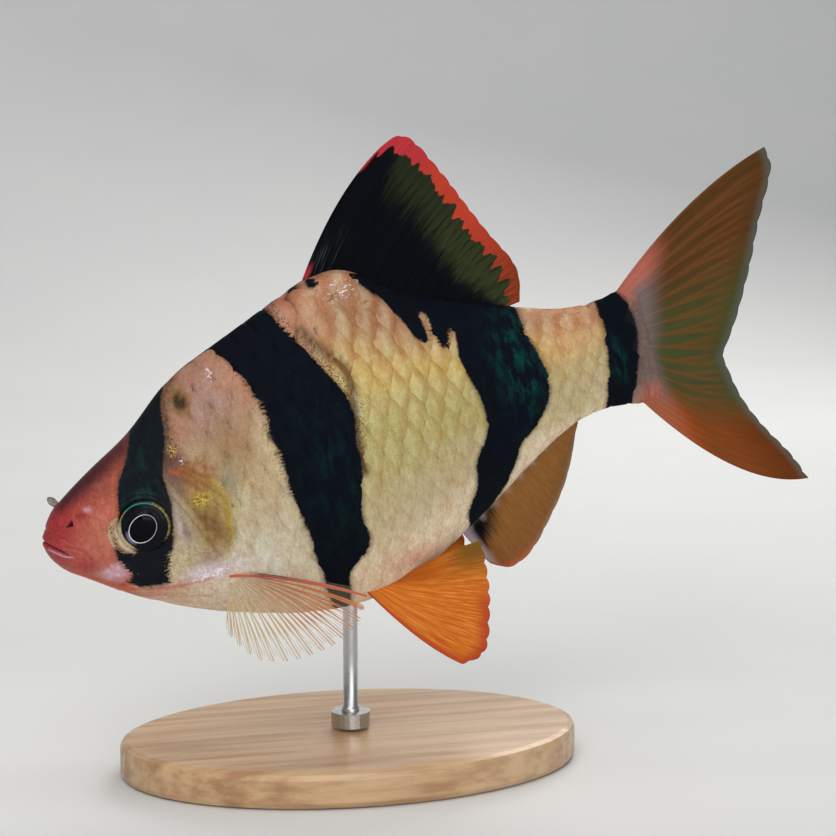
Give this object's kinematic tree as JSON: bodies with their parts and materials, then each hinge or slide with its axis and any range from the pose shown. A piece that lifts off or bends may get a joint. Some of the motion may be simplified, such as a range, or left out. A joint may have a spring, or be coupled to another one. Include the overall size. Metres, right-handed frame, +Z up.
{
  "type": "tiger barb model on a display stand",
  "caption": "Life-size still model of a tiger barb swimming nose down, with spread fins, held over an oval wooden plate by a slim steel rod.",
  "frame": {"origin": "centre of the whole model's box seen from above, on the surface that the stand rests on", "axes": "+X from the snout towards the tail, along the longest extent; +Y towards the fish's right side; +Z up"},
  "size_m": [0.0654, 0.024, 0.0514],
  "materials": {
    "flesh_head": "satin, wet-looking",
    "flesh_body": "satin with pearly scales",
    "gill_cover": "pearly gold",
    "eye": "high gloss",
    "fin_dark": "satin",
    "fin_orange": "satin, slightly translucent",
    "fin_pale": "satin, translucent",
    "stand_wood": "oiled satin",
    "stand_steel": "brushed"
  },
  "bodies": {
    "root": {"head": "flesh_head", "lower_jaw": "flesh_head", "gill_cover_left": "gill_cover", "gill_cover_right": "gill_cover", "trunk": "flesh_body", "tail": "flesh_body", "eye_left": "eye", "eye_right": "eye", "dorsal_fin": "fin_dark", "anal_fin": "fin_orange", "pelvic_fin_left": "fin_orange", "pelvic_fin_right": "fin_orange", "caudal_fin": "fin_pale", "pectoral_fin_left": "fin_pale", "pectoral_fin_right": "fin_pale", "stand_base": "stand_wood", "stand_collar": "stand_steel", "stand_rod": "stand_steel"}
  },
  "joints": []
}
